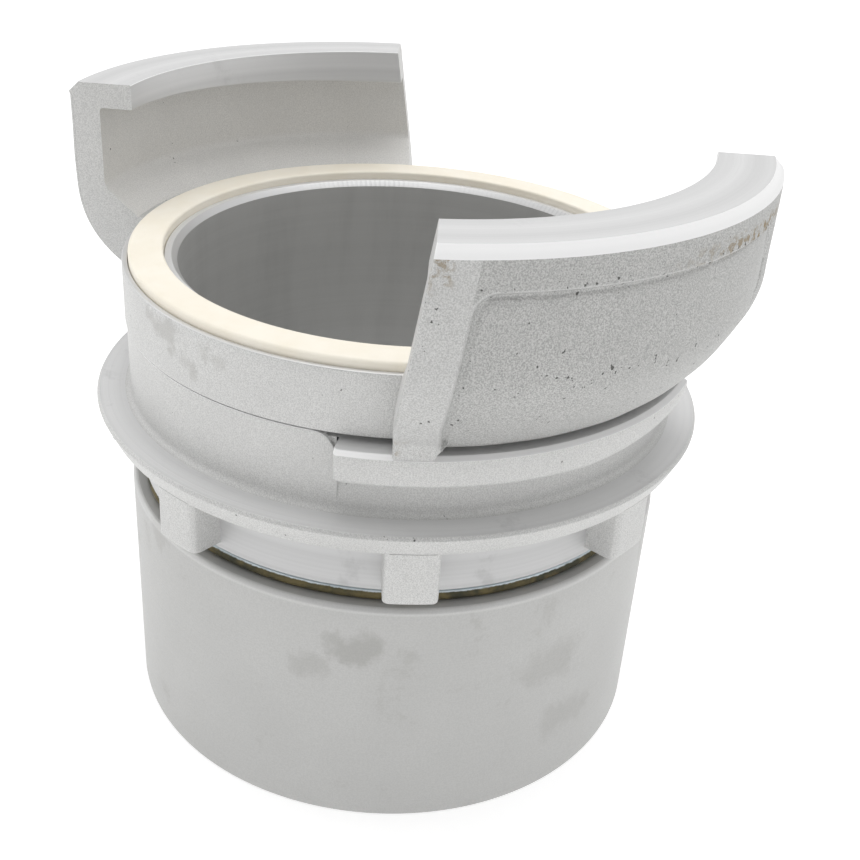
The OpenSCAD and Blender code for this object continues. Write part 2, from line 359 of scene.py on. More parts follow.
def joined(tree, x, y):
    return put(tree, "CombineXYZ", {0: x, 1: y}).outputs[0]


def noise(tree, vector, scale, detail=2.0, roughness=0.5, distortion=0.0):
    inputs = {"Vector": vector, "Scale": scale, "Detail": detail, "Roughness": roughness,
              "Distortion": distortion}
    return put(tree, "TexNoise", inputs).outputs[0]


def shade(colour, factor):
    """A darker or lighter colour."""
    return tuple(c * factor for c in colour)


def new_group(name, inputs, outputs):
    """A shader node group that takes a position and named numbers, with its inputs and its output node."""
    group = bpy.data.node_groups.new(name, "ShaderNodeTree")
    group.interface.new_socket(name="Position", in_out="INPUT", socket_type="NodeSocketVector")
    for socket, default in inputs.items():
        made = group.interface.new_socket(name=socket, in_out="INPUT", socket_type="NodeSocketFloat")
        made.default_value = default
    for socket in outputs:
        group.interface.new_socket(name=socket, in_out="OUTPUT", socket_type="NodeSocketFloat")
    return group, group.nodes.new("NodeGroupInput").outputs, group.nodes.new("NodeGroupOutput")


def sized(group, start):
    """The position, counted in the group's Size, which is in millimetres."""
    per = calc(group, "DIVIDE", 1.0, start["Size"])
    place = scaled(group, start["Position"], MM)
    return put(group, "VectorMath", {0: place, "Scale": per}, operation="SCALE").outputs[0]


@cache
def grain_group():
    """Blasted cast skin: fine bumps with bright and dark grains, and scattered pits."""
    group, start, end = new_group("Cast grain", {"Size": 1.0, "Pits": 0.3}, ["Height", "Speckle", "Pit"])
    place = sized(group, start)
    fine, coarse = noise(group, place, 2.6, 3.0, 0.65), noise(group, place, 0.9, 2.0, 0.5)
    height = plus(group, times(group, fine, 0.7), times(group, coarse, 0.5))
    moved, apart = (put(group, "VectorMath", {0: place, 1: shift}).outputs[0]
                    for shift in ((31.0, 7.0, 13.0), (5.0, 41.0, 3.0)))
    many = plus(group, noise(group, place, 0.08, 2.0), times(group, start["Pits"], 0.2))
    level = spread(group, many, 0.45, 0.85, 0.86, 0.66)
    pit = spread(group, noise(group, apart, 0.62, 1.0), level, plus(group, level, 0.05))
    feed(group, end, {"Height": minus(group, height, times(group, pit, 1.2)),
                      "Speckle": noise(group, moved, 2.1, 2.0, 0.6), "Pit": pit})
    return group


@cache
def turning_group():
    """Turned surface: fine rings round the axis and a slow waver."""
    group, start, end = new_group("Turning lines", {"Spacing": 0.35}, ["Height", "Streak"])
    x, y, z = axes(group, start["Position"])
    radius = put(group, "VectorMath", {0: joined(group, x, y)}, operation="LENGTH").outputs["Value"]
    per = calc(group, "DIVIDE", MM, start["Spacing"])
    along = joined(group, times(group, radius, per), times(group, z, per))
    feed(group, end, {"Height": noise(group, along, 1.0, 3.0, 0.6),
                      "Streak": noise(group, along, 0.13, 2.0, 0.6)})
    return group


@cache
def soiling_group():
    """Blotches of dirt, broken up by a finer grain."""
    group, start, end = new_group("Soiling", {"Size": 12.0, "Amount": 0.4}, ["Mask"])
    place = sized(group, start)
    broad, fine = noise(group, place, 1.0, 2.0, 0.5, 0.4), noise(group, place, 9.0, 3.0, 0.7)
    both = plus(group, times(group, broad, 0.72), times(group, fine, 0.28))
    level = minus(group, 0.78, times(group, start["Amount"], 0.4))
    feed(group, end, {"Mask": spread(group, both, level, plus(group, level, 0.1))})
    return group


def effect(tree, maker, place, **values):
    """The outputs of a shared node group, which its maker builds at its first use."""
    return put(tree, "Group", {"Position": place, **values}, node_tree=maker()).outputs


def new_material(name):
    """A material with its tree and object position."""
    material = bpy.data.materials.new(name)
    material.use_nodes = True
    tree = material.node_tree
    return material, tree, put(tree, "TexCoord").outputs["Object"]


def finish(material, base, rough, metal, height, strength, distance):
    """Gives the material's shader its colour, roughness, metal and bumps."""
    tree = material.node_tree
    made = put(tree, "Bump", {"Height": height, "Strength": strength, "Distance": distance})
    feed(tree, tree.nodes["Principled BSDF"],
         {"Base Color": base, "Roughness": rough, "Metallic": metal, "Normal": made.outputs[0]})
    return material


def stained(tree, place, base, radius, spots, colour):
    """The base colour with ragged stains at spots of (degrees, height, size, strength) on a round wall."""
    squat = 1.6
    flat = scaled(tree, place, (1.0, 1.0, squat))
    ragged = noise(tree, scaled(tree, place, (MM, MM, 0.7 * MM)), 0.2, 4.0, 0.62)
    ragged = times(tree, minus(tree, ragged, 0.5), 0.02)
    for turned, height, size, strength in spots:
        turn = math.radians(turned)
        spot = (radius * math.cos(turn), radius * math.sin(turn), height * squat)
        away = put(tree, "VectorMath", {0: flat, 1: spot}, operation="DISTANCE").outputs["Value"]
        stain = spread(tree, plus(tree, away, ragged), size, size * 0.35, 0.0, strength)
        base = blend(tree, stain, base, colour)
    return base


def cast_metal(name, colour, soil_zone=None, grain=0.5, pits=0.3, metal=0.55, contrast=1.0, spots=()):
    """Blasted cast aluminium with pits and ochre soiling; soil_zone puts more soil where it is 1."""
    look, rough = bpy.context.scene.coupling_finishes, 0.55
    material, tree, place = new_material(name)
    pits = pits(tree, place) if callable(pits) else pits
    grains = effect(tree, grain_group, place, Size=grain, Pits=pits)
    dirt = effect(tree, soiling_group, place, Size=9.0, Amount=0.02)["Mask"]
    if soil_zone:
        more = effect(tree, soiling_group, place, Size=1.4, Amount=0.74)["Mask"]
        dirt = calc(tree, "MAXIMUM", dirt, times(tree, more, soil_zone(tree, place)))
    light = tuple(min(1.0, c) for c in shade(colour, 1 + 0.10 * contrast))
    speckle = spread(tree, grains["Speckle"], 0.34, 0.66)
    base = blend(tree, speckle, shade(colour, 1 - 0.14 * contrast), light)
    patch = noise(tree, scaled(tree, place, MM), 0.055, 2.0)
    base = blend(tree, spread(tree, patch, 0.35, 0.7, 0.0, 0.16), base, shade(colour, 0.8))
    base = stained(tree, place, base, SEAL_R, spots, (0.36, 0.35, 0.33))
    base = blend(tree, times(tree, dirt, 0.8), base, look.soil)
    base = blend(tree, times(tree, grains["Pit"], 0.85), base, look.pits)
    roughness = spread(tree, grains["Speckle"], 0.3, 0.7, rough - 0.08, rough + 0.12)
    roughness = plus(tree, roughness, times(tree, dirt, 0.25), True)
    worn = minus(tree, metal, times(tree, dirt, 0.6), True)
    return finish(material, base, roughness, worn, grains["Height"], 0.3 * look.grain, 0.0003)


def turned_metal(name, colour, rough, metal, spacing=0.35, lines=0.2, smudges=0.25):
    """Turned aluminium: fine rings, faint streaks and fingered smudges."""
    material, tree, place = new_material(name)
    ring = effect(tree, turning_group, place, Spacing=spacing)
    smear = effect(tree, soiling_group, place, Size=16.0, Amount=0.5)["Mask"]
    grains = effect(tree, grain_group, place, Size=0.8, Pits=0.0)
    base = blend(tree, spread(tree, ring["Streak"], 0.3, 0.7, 0.0, 0.7), colour, shade(colour, 0.84))
    base = blend(tree, times(tree, smear, smudges), base, shade(colour, 0.62))
    roughness = spread(tree, ring["Height"], 0.2, 0.8, rough - 0.06, rough + 0.1)
    roughness = plus(tree, roughness, times(tree, smear, 0.1))
    height = plus(tree, ring["Height"], times(tree, grains["Height"], 0.25))
    return finish(material, base, roughness, metal, height, lines, 0.00012)


# The casting: collar, tail and two claws. These lengths of the claws, in millimetres, aren't in the sidebar.

END_BEND = 5.5  # from the rim down to where the sloping end turns upright
FOOT_H, FOOT_DROP, FOOT_LEAN = 3.7, 0.7, 1.6  # the flared foot of the rib at the sloping end
RIB_MID, RIB_BULGE = 20.7, 24  # height over the collar, and radius, of the ribs' bulge
BELLY_MID, BELLY_BULGE, BELLY_OUT = 28.7, 38, 0.5  # the same for the panel, and how far its arc stands out
BELLY_MERGE = 0.8  # half the length over which belly and flat panel merge
PANEL_CORNER = 4.0  # rounding of the panel's upper corners
GROOVE, GROOVE_AT, GROOVE_W = 0.28, 1.35, 0.55  # the shallow groove inside the panel's border
QUARTER = math.radians(45)


def sloping_gap(size, z):
    """Offset of the sloping end face from the axis at a height."""
    bend_z = CLAW_TOP * MM - size.claw_h * MM - END_BEND
    return size.slope_gap * MM - (CLAW_TOP * MM - np.maximum(z, bend_z)) * math.tan(size.end_slope)


def from_ends(size, r, z, turn):
    """Distances from the sloping and from the upright end face of the claw on +X."""
    sloping = r * np.sin(turn + QUARTER) - sloping_gap(size, z)
    return sloping, r * np.sin(QUARTER - turn) - size.end_gap * MM


def in_panel(side, above):
    """How far inside the panel's border a point lies, from its distances inside the sides and the top."""
    corner = np.hypot(np.maximum(PANEL_CORNER - side, 0), np.maximum(PANEL_CORNER - above, 0))
    return np.minimum(np.minimum(side, above), PANEL_CORNER - corner)


def claw_skin(size):
    """Skin of the claw on +X, between its sloping and its upright end."""
    claw_r, top = CLAW_R * MM, CLAW_TOP * MM
    rim = top - size.claw_h * MM
    collar_z = rim - size.collar_h * MM
    wall_r, lip_r, collar_r = size.wall_r * MM, size.lip_r * MM, size.collar_r * MM
    rib_w, panel_t, chamfer, edge = (v * MM for v in (size.rib_w, size.panel_t, size.chamfer, size.cast_edge))
    panel_top = top - size.rib_h * MM
    thin, thick = size.lip_thin * MM, size.lip_thick * MM
    bend_z, foot_top = rim - END_BEND, collar_z + FOOT_H

    def angle(r, z, t):
        """Angle at the share t of the way from the sloping to the upright end."""
        first = -QUARTER + np.arcsin(sloping_gap(size, z) / r)
        last = QUARTER - np.arcsin(size.end_gap * MM / r)
        return first + t * (last - first)

    def rib_r(z):
        below = np.clip(collar_z + RIB_MID - z, 0, RIB_BULGE)
        return claw_r - RIB_BULGE + np.sqrt(RIB_BULGE**2 - below**2)

    def panel_r(z):
        below = np.clip(collar_z + BELLY_MID - z, 0, BELLY_BULGE - 1)
        arc = claw_r - (BELLY_BULGE - BELLY_OUT) + np.sqrt(BELLY_BULGE**2 - below**2)
        belly, flat = np.where(z < collar_z + BELLY_MID, arc, claw_r + BELLY_OUT), claw_r - panel_t
        near = np.clip(0.5 + (belly - flat) / (2 * BELLY_MERGE), 0, 1)
        return belly + (flat - belly) * near - BELLY_MERGE * near * (1 - near)

    foot_out, cut_edge = rib_r(np.array(foot_top)), 0.25

    heights = np.concatenate([
        np.linspace(top - chamfer, panel_top + 0.8, 5)[:-1],
        np.linspace(panel_top + 0.8, panel_top - 2.2, 16)[:-1],
        np.linspace(panel_top - 2.2, bend_z + 1, 20)[:-1],
        [bend_z + 1, bend_z],
        np.linspace(bend_z, foot_top, 6)[1:-1],
        np.linspace(foot_top, collar_z + 0.4, 8),
        [collar_z + 0.15, collar_z + 0.03, collar_z],
    ])
    split = int(np.argmin(abs(heights - bend_z))) + 1

    long_way = claw_r * float(angle(claw_r, top, 1.0) - angle(claw_r, top, 0.0))
    near = np.array([0, 0.05, 0.12, 0.22, 0.36, 0.54, 0.75, 1.0, 1.4, 2.2, 3.4, 4.8, 6.0])
    step = np.arange(6.6, 11.9, 0.3)
    middle = np.arange(12.5, long_way - 12.4, 1.1)
    marks = np.concatenate([near, step, middle, long_way - step[::-1], long_way - near[::-1]])
    columns = []
    for t in marks / long_way:
        z, r = heights.copy(), rib_r(heights)
        for _ in range(2):
            phi = angle(r, z, t)
            sloping, upright = from_ends(size, r, z, phi)
            to_end = np.minimum(sloping, upright)
            inside = in_panel(to_end - rib_w, panel_top - heights)
            sunk = smooth(inside, 0.0, 1.0)
            r = rib_r(heights) * (1 - sunk) + panel_r(heights) * sunk
            r = r - GROOVE * np.exp(-(((inside - GROOVE_AT) / GROOVE_W) ** 2))
            waver = np.sin(heights * 0.31 + t * 17) * np.sin(t * 23 + heights * 0.11)
            r = r + 0.10 * waver * smooth(panel_top - heights, 0, 3)
            flare = rib_w + 3 * np.clip((heights - collar_z) / FOOT_H, 0, 1)
            foot = (1 - smooth(sloping, flare - 0.5, flare + 0.5)) * (heights <= foot_top)
            flared = smooth(sloping, rib_w - 0.5, rib_w + 0.5)
            foot = foot * (1 - flared * (1 - smooth(foot_top - heights, 0, 2)))
            straight = foot_out - FOOT_LEAN * (foot_top - heights) / FOOT_H
            r = r + (straight - r) * foot
            down = (1 - smooth(sloping[-1:], rib_w - 0.4, rib_w + 0.4))[0]
            z = heights - FOOT_DROP * down * np.clip((foot_top - heights) / FOOT_H, 0, 1)
            r = r - rolled(to_end, np.where(heights > top - chamfer - 0.1, cut_edge, edge))
            r[-3:] -= (0.05, 0.2, 0.5)
        bottom = z[-1]
        outer = np.column_stack([r, z])
        chamfer_in = cut_edge * np.clip(1 - to_end[0] / cut_edge, 0, 1)
        outer = np.vstack([[claw_r - chamfer - chamfer_in, top], outer])
        phi_lip = float(angle(lip_r, top, t))
        hook_z = [top - min(thick, (thick + thin) / 2 - rr * math.sin(phi_lip) * (thick - thin) / lip_r)
                  for rr in (lip_r, wall_r)]
        low_wall = rim + 6.7
        inner = rounded([
            (claw_r - chamfer - 2, top, 0), (lip_r, top, 0.25), (lip_r, hook_z[0], 0.3),
            (wall_r, hook_z[1], 0.9),
            (wall_r, low_wall, 3.0), (lip_r - 0.1, rim, 0.5), (collar_r - 0.4, rim - 0.06, 0),
        ], 6, closed=False)
        down_inside = np.array([[collar_r - 0.4, bend_z], [collar_r - 0.4, collar_z + 0.05],
                                [collar_r + 0.4, collar_z], [collar_r + 0.4, bottom]])
        loop = np.vstack([outer, down_inside[::-1], inner[::-1]])
        columns.append(at_angle(loop, angle(loop[:, 0], loop[:, 1], t)))
    points, faces = skin(columns, closed=False)
    size_of = len(columns[0])
    bent = len(outer) + 3
    for start in (0, (len(columns) - 1) * size_of):
        loop = list(range(start, start + size_of))
        faces.append(loop[: split + 1] + loop[bent:])
        faces.append(loop[split: bent + 1])
    return points, faces


def half_turned(points, faces):
    return points * np.array((-1.0, -1.0, 1.0)), faces


class COUPLING_OT_casting(Operator):
    """Build the casting with its claws, collar and tail"""

    bl_idname = "coupling.casting"
    bl_label = "Casting"

    def execute(self, context):
        size, look = context.scene.coupling_casting, context.scene.coupling_finishes
        top, low = CLAW_TOP * MM, CLAW_LOW * MM
        rim = top - size.claw_h * MM
        collar_z = rim - size.collar_h * MM
        bore, tail, collar = size.bore_r * MM, size.tail_r * MM, size.collar_r * MM
        seal_out, seal_in = collar - size.rim_t * MM, bore + size.lip_t * MM
        recess = rim - size.seal_low * MM
        wire_r = (WIRE_TOP - WIRE_LOW) * MM / 2
        wire_z, wire_mid = (WIRE_TOP + WIRE_LOW) * MM / 2, WIRE_R * MM - wire_r
        cut = wire_r + 0.05
        reach = math.degrees(math.acos((tail - wire_mid) / cut))
        groove = curve(wire_mid, wire_z, cut, 360 - reach, reach, 12)
        ring_r = (O_RING_TOP - O_RING_LOW) * MM / 2
        ring_mid = O_RING_R * MM - ring_r
        half = ring_r + 0.35
        upper = rounded([
            (tail, collar_z - 3, 0), (tail, collar_z, 0.3), (collar, collar_z, 0.35), (collar, rim, 0.35),
            (seal_out, rim, 0.15), (seal_out, recess, 0.2), (seal_in, recess, 0.2), (seal_in, rim, 0.2),
            (bore + 1.2, rim, 0.1), (bore, rim - 1.2, 0.15), (bore, low, 0.3), (ring_mid - half, low, 0),
            (ring_mid - half, low + 2 * ring_r, 0), (ring_mid + half, low + 2 * ring_r, 0),
            (ring_mid + half, low, 0),
            (tail, low, 0.5), (tail, low + 3, 0),
        ], closed=False)
        groove = groove[groove[:, 0] <= tail + 1e-6]
        outline = np.vstack([upper, groove[np.argsort(groove[:, 1])]])
        outline = divided(outline, 3.0)
        claw, panel_top = claw_skin(size), top - size.rib_h * MM

        def choose(at, normal):
            r, outward = math.hypot(at.x, at.y), normal.x * at.x + normal.y * at.y
            if r > collar + 0.6 and at.z < top - size.chamfer * MM and outward > 0:
                turn = math.atan2(at.y * math.copysign(1, at.x), abs(at.x))
                side = min(from_ends(size, r, at.z, turn)) - size.rib_w * MM
                # The ramp round the panel's border takes the rib material, as a painted highlight line.
                return 7 if side > 0.1 and not -0.1 < in_panel(side, panel_top - at.z) < 0.7 else 6
            if r < bore + 0.1 and at.z < rim - 1.4:
                return 2
            if r < bore + 1.3 and at.z > rim - 1.5:
                return 3
            # Chamfer faces get material 5, a near-white painted highlight; flat tops get the turned material.
            if at.z > top - size.chamfer * MM - 0.02 and normal.z > 0.3:
                return 1 if normal.z > 0.9 else 5
            if at.z > top - 9 and r < size.lip_r * MM + 0.3:
                return 1
            if normal.z > 0.6 and seal_in - 1.6 < r < collar + 0.2 and at.z < rim + 0.1:
                return 1
            if r < tail + 0.2 and at.z < collar_z - 0.2:
                return 1
            if r < size.wall_r * MM + 0.2 and at.z > rim + 0.1 and outward < 20:
                return 4
            return 0

        zone = claw_zone(size)
        smudges = ((-92, 0.1045, 0.006, 0.35), (-86, 0.1005, 0.0055, 0.35), (-78, 0.1045, 0.004, 0.25))
        # Painted light: the pocket under the lips is made 15% lighter than the cast colour, to brighten its
        # shade.
        pocket_painted_light = tuple(c * 1.15 * w for c, w in zip(look.cast, (1.0, 0.99, 0.98)))
        materials = [
            cast_metal("Cast aluminium", look.cast, pits=0.2, contrast=1.4, spots=smudges),
            turned_metal("Turned faces", look.turned, 0.45, 0.6, spacing=0.5, smudges=0.12),
            bore_material(),
            bore_edge_material(),
            cast_metal("Claw pocket", pocket_painted_light, grain=0.4, pits=0.05, metal=0.35),
            # Near-white, nearly unmetallic material: a painted highlight on the top chamfers.
            turned_metal("Chamfer painted highlight", (1.0, 1.0, 1.0), 0.55, 0.05, spacing=0.5, smudges=0.03),
            # Also used as a painted highlight line on the ramp round the panel's border.
            cast_metal("Claw ribs and painted border highlight", shade(look.cast, 0.9), zone, grain=0.55, pits=0.5, contrast=1.6),
            cast_metal("Claw panel", look.panel, zone, grain=0.6, pits=claw_pits(size), contrast=2.2),
        ]
        make_piece("claw_casting", [spun(outline), claw, half_turned(*claw)], "claw_body", "half_coupling",
                   materials, choose)
        return {"FINISHED"}


def claw_zone(size):
    """Soil along the panel's upper border, at the top of one rib, on its foot and down the far edge."""
    high, top, foot = CLAW_TOP - size.rib_h + 0.0008, CLAW_TOP, CLAW_TOP - size.claw_h - size.collar_h

    def zone(tree, place):
        x, y, z = axes(tree, place)
        side = times(tree, y, calc(tree, "SIGN", x))
        from_border = calc(tree, "ABSOLUTE", minus(tree, z, high))
        border = times(tree, spread(tree, from_border, 0.0030, 0.0008), spread(tree, side, -0.015, 0.02))
        near = spread(tree, side, -0.0462, -0.0475, 0.0, 0.8)
        ends = calc(tree, "MAXIMUM", spread(tree, z, top - 0.009, top - 0.005),
                    spread(tree, z, foot + 0.006, foot + 0.002))
        far = spread(tree, side, 0.0425, 0.0455)
        both = calc(tree, "MAXIMUM", times(tree, near, ends), far)
        front = spread(tree, x, 0.0, 0.01)
        return times(tree, front, calc(tree, "MAXIMUM", border, times(tree, both, 0.9)))

    return zone


def claw_pits(size):
    """More pits low on the panel and along its upper border."""
    levels = CLAW_TOP - size.rib_h, CLAW_TOP - size.claw_h + 0.004

    def pits(tree, place):
        up = axes(tree, place)[2]
        border, belly = (calc(tree, "ABSOLUTE", minus(tree, up, level)) for level in levels)
        return calc(tree, "MAXIMUM", spread(tree, border, 0.002, 0.0005, 0.5, 1.6),
                    spread(tree, belly, 0.003, 0.001, 0.5, 1.5))

    return pits


def bore_material():
    """Darker turned wall with upright smudges."""
    colour = bpy.context.scene.coupling_finishes.bore
    material, tree, place = new_material("Bore wall")
    ring = effect(tree, turning_group, place, Spacing=0.3)
    tall = scaled(tree, place, (MM, MM, 0.19 * MM))
    smear = spread(tree, noise(tree, tall, 0.11, 4.0, 0.6, 0.3), 0.42, 0.72)
    base = blend(tree, smear, colour, shade(colour, 0.92))
    base = blend(tree, spread(tree, ring["Streak"], 0.35, 0.65, 0.0, 0.25), base, shade(colour, 1.12))
    rough = spread(tree, ring["Height"], 0.2, 0.8, 0.42, 0.58)
    return finish(material, base, rough, 0.4, ring["Height"], 0.25, 0.0001)


def bore_edge_material():
    """Turned bevel with short chatter marks round it."""
    colour = shade(bpy.context.scene.coupling_finishes.turned, 0.9)
    material, tree, place = new_material("Bore edge")
    x, y, _ = axes(tree, place)
    turn = calc(tree, "ARCTAN2", y, x)
    wave = calc(tree, "SINE", times(tree, turn, 260.0))
    along = joined(tree, calc(tree, "COSINE", turn), calc(tree, "SINE", turn))
    back = spread(tree, y, 0.0, 0.035)
    where = times(tree, spread(tree, noise(tree, along, 1.6, 2.0), 0.35, 0.6), back)
    tick = times(tree, spread(tree, wave, 0.0, 0.8), where)
    ring = effect(tree, turning_group, place, Spacing=0.25)["Height"]
    base = blend(tree, times(tree, tick, 0.2), colour, shade(colour, 0.55))
    rough = spread(tree, ring, 0.2, 0.8, 0.25, 0.42)
    return finish(material, base, rough, 0.7, minus(tree, times(tree, ring, 0.4), tick), 0.3, 0.0002)


# The locking ring


class COUPLING_OT_ring(Operator):
    """Build the locking ring with its cams, flange and spanner lugs"""

    bl_idname = "coupling.ring"
    bl_label = "Locking ring"

    def execute(self, context):
        size, look = context.scene.coupling_ring, context.scene.coupling_finishes
        skin_of_ring = self.columns(size)
        cam_top, flange_top = size.cam_top * MM, size.flange_top * MM
        wall = size.wall_r * MM

        def choose(at, normal):
            r = math.hypot(at.x, at.y)
            # Cam chamfers get material 3, a near-white painted highlight; flat tops get the turned material.
            if normal.z > 0.25 and at.z > cam_top - 1.0:
                return 1 if normal.z > 0.9 else 3
            if r < size.bore_r * MM + 0.5:
                return 1
            if normal.z > 0.9 and r > wall + 1.4 and at.z < flange_top + 0.1:
                return 1
            if at.z < flange_top - size.flange_t * MM and r < size.skirt_r * MM + 0.3:
                return 2
            return 0

        materials = [
            cast_metal("Ring casting", look.cast, pits=0.12, contrast=1.3),
            turned_metal("Ring turned faces", shade(look.turned, 1.08), 0.5, 0.45, spacing=0.7, lines=0.7),
            turned_metal("Ring skirt", shade(look.turned, 0.9), 0.6, 0.45, spacing=0.3, lines=0.12,
                         smudges=0.2),
            # Near-white material: a painted highlight on the cams' top chamfers.
            turned_metal("Ring chamfer painted highlight", (0.98, 0.98, 0.98), 0.5, 0.1, smudges=0.05),
        ]
        make_piece("locking_ring_casting", [skin_of_ring], "locking_ring", "ring",
                   materials, choose)
        return {"FINISHED"}

    def columns(self, size):
        """The ring's outline at each angle, from the lugs' lower ends round to the bore."""
        bore, wall, neck, skirt, cam_r, lug_r = (
            v * MM for v in (size.bore_r, size.wall_r, size.neck_r, size.skirt_r, size.cam_r, size.lug_r)
        )
        low, top, cam_top = RING_LOW * MM, RING_TOP * MM, size.cam_top * MM
        flange_top, under = size.flange_top * MM, (size.flange_top - size.flange_t) * MM
        flange_r, lug_low = FLANGE_R * MM, size.lug_low * MM
        cam_under = cam_top - size.cam_t * MM
        span, slot, lead = size.cam_angle, size.slot_angle, math.radians(33)
        lug_edge, fillet, wall_root, cam_root, cam_edge = 1.3, 2.0, 1.6, 2.5, 1.0
        wall_low = flange_top + 2.6

        corner = lug_r - lug_edge + lug_edge * np.sin(np.radians([18, 36, 54, 72, 90]))
        radii = np.concatenate([np.linspace(skirt, lug_r - lug_edge, 5), corner])
        flank = np.arcsin((size.lug_w * MM / 2 - rolled(lug_r - radii, lug_edge)) / radii)

        cam_steps = (0.08, 0.2, 0.36, 0.56, 0.8, 1.1)
        wall_steps = (0.05, 0.15, 0.3, 0.6, 1.0, 1.5, 2.1, 2.8, 3.6, 4.6)
        angles = [(math.radians(a), None) for a in np.arange(0, 360, 1.0)]
        for i in range(size.lugs):
            middle = size.lug_start + i * 2 * math.pi / size.lugs
            angles += [(middle + s * f, None) for s in (-1, 1) for f in flank]
        for half in (0, math.pi):
            begin, end = size.cam_start + half, size.cam_start + span + half
            for mark, before, after in (
                (begin, "slot", "cam"), (end, "cam", "slot"),
                (begin - slot, "wall", "slot"), (end + slot, "slot", "wall"),
            ):
                angles += [(mark, before), (mark + 1e-7, after)]
                kind, way = (before, -1) if after == "slot" else (after, 1)
                radius, steps = (cam_r, cam_steps) if kind == "cam" else (wall, wall_steps)
                angles += [(mark + way * d / radius, kind) for d in steps]

        def state(angle):
            turn = (angle - size.cam_start) % math.pi
            if turn <= span:
                return "cam"
            return "slot" if turn < span + slot or turn > math.pi - slot else "wall"

        full = 2 * math.pi
        marks = sorted(((a % full, s or state(a)) for a, s in angles), key=lambda m: m[0])
        kept = [marks[0]]
        for mark in marks[1:]:
            if mark[0] - kept[-1][0] > 3e-5 or mark[1] != kept[-1][1]:
                kept.append(mark)

        lug_rows = lug_low + np.array([-0.02, 0, 0.05, 0.15, 0.35, 0.65, 1.0, 2.5, 5, 8])
        under_rows = under - np.array([2, 1.7, 1.4, 1.05, 0.7, 0.35, 0.1, 0])
        heights = np.concatenate([[low + 0.4, low + 1.2], lug_rows, under_rows])
        rise = np.clip(heights - (under - fillet), 0, fillet)
        plain = skirt + fillet - np.sqrt(fillet**2 - rise**2)
        flange = rounded([
            (skirt + 2.2, under, 0), (flange_r - 2.0, under, 0.5), (flange_r, flange_top - 0.8, 0.35),
            (flange_r - 0.5, flange_top, 0.25), (wall + wall_root, flange_top, 0),
        ], 4, closed=False)[1:]
        root = curve(wall + wall_root, flange_top + wall_root, wall_root, 270, 180, 7)[1:]
        flange = np.vstack([flange, root])

        columns = []
        for angle, kind in kept:
            away = (angle - size.lug_start + math.pi / size.lugs) % (full / size.lugs) - math.pi / size.lugs
            out = np.interp(abs(away), flank[::-1], radii[::-1], right=skirt)
            out = lug_r if abs(away) < flank[-1] else out
            lug = np.where(heights >= lug_low, out - rolled(heights - lug_low, 1.0), 0)
            lower = np.column_stack([np.maximum(plain, lug), heights])
            turn = (angle - size.cam_start) % math.pi
            turn = turn - math.pi if turn > math.pi - slot * 1.5 and kind != "wall" else turn
            if kind == "cam":
                lift = size.cam_lead * MM * max(0.0, (turn - (span - lead)) / lead)
                foot, face = cam_under + lift, cam_r - rolled(min(turn, span - turn) * cam_r, cam_edge)
                upper = np.vstack([
                    [[wall, wall_low]], curve(neck + cam_root, foot - cam_root, cam_root, 180, 90, 6),
                    rounded([(neck + cam_root, foot, 0), (face, foot, 0.9), (face, cam_top - 0.6, 0.15),
                             (face - 1.2, cam_top, 0.1), (neck, cam_top, 0)], 4, closed=False)[1:],
                    [[neck - 0.4, cam_top], [bore + 0.3, cam_top], [bore, cam_top - 0.3]],
                ])
            else:
                side, crest = neck, cam_top
                if kind == "wall":
                    to_slot = min(turn - span - slot, math.pi - slot - turn) * wall
                    side, crest = wall - rolled(to_slot, 0.3), top - rolled(to_slot, size.shoulder * MM)
                inner = max(cam_top, crest)
                rows = np.concatenate([[0.0], np.linspace(0.06, 0.32, 7), np.linspace(0.4, 0.96, 10)])
                rows = rows * (crest - 0.3 - wall_low) + wall_low
                sides = wall + (side - wall) * smooth(rows, flange_top + 6.6, flange_top + 9.0)
                upper = np.vstack([
                    np.column_stack([sides, rows]),
                    rounded([(side, crest - 0.4, 0), (side, crest, 0.25), (neck, crest, 0)], 4, False)[1:-1],
                    [[min(side, neck), crest], [min(side, neck) - 0.02, inner]],
                    [[bore + 0.3, inner], [bore, inner - 0.3]],
                ])
            down = [[bore, z] for z in (88.0, 80.0, 70.0, low + 0.3)]
            inside = np.array([*down, [bore + 0.3, low], [skirt - 0.4, low]])
            columns.append(at_angle(np.vstack([lower, flange, upper, inside]), angle))
        return skin(columns)


# Socket, seals and wire


